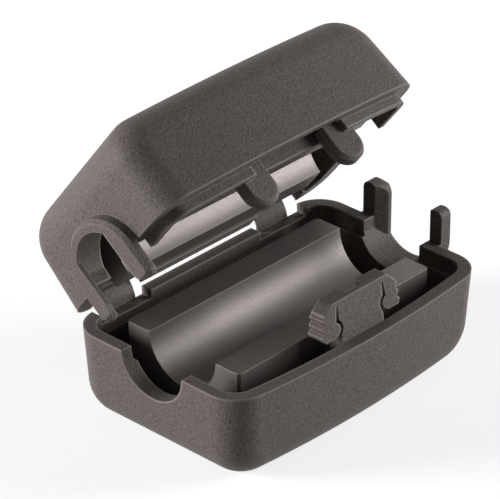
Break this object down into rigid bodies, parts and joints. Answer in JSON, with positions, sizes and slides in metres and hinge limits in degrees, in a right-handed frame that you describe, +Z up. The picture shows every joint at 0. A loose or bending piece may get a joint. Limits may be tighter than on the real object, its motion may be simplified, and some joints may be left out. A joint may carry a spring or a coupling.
{
  "type": "clip-on ferrite bead",
  "caption": "Hinged moulded case with a split ferrite sleeve that snaps shut round a cable to choke high-frequency noise.",
  "frame": {"origin": "on the flat underside, straight below the cable axis, midway along the case", "axes": "+X along the cable towards the base's collar, -Y towards the latch, +Z up; the lid stands open at rest"},
  "size_m": [0.0449, 0.0338, 0.0378],
  "materials": {
    "case_plastic": "fine moulded grain",
    "ferrite": "ground and tumbled satin"
  },
  "bodies": {
    "base": {"base_shell": "case_plastic", "lower_ferrite": "ferrite", "latch_clip": "case_plastic", "hinge_strap_near": "case_plastic", "hinge_strap_far": "case_plastic"},
    "lid": {"lid_shell": "case_plastic", "upper_ferrite": "ferrite"}
  },
  "joints": [
    {"name": "lid_hinge", "type": "hinge", "parent": "base", "child": "lid", "pos_m": [0, 0.01275, 0.01162], "axis": [-1, 0, 0], "range_deg": [-52.7, 77.3], "deforming": ["latch_clip", "hinge_strap_near", "hinge_strap_far"]}
  ]
}
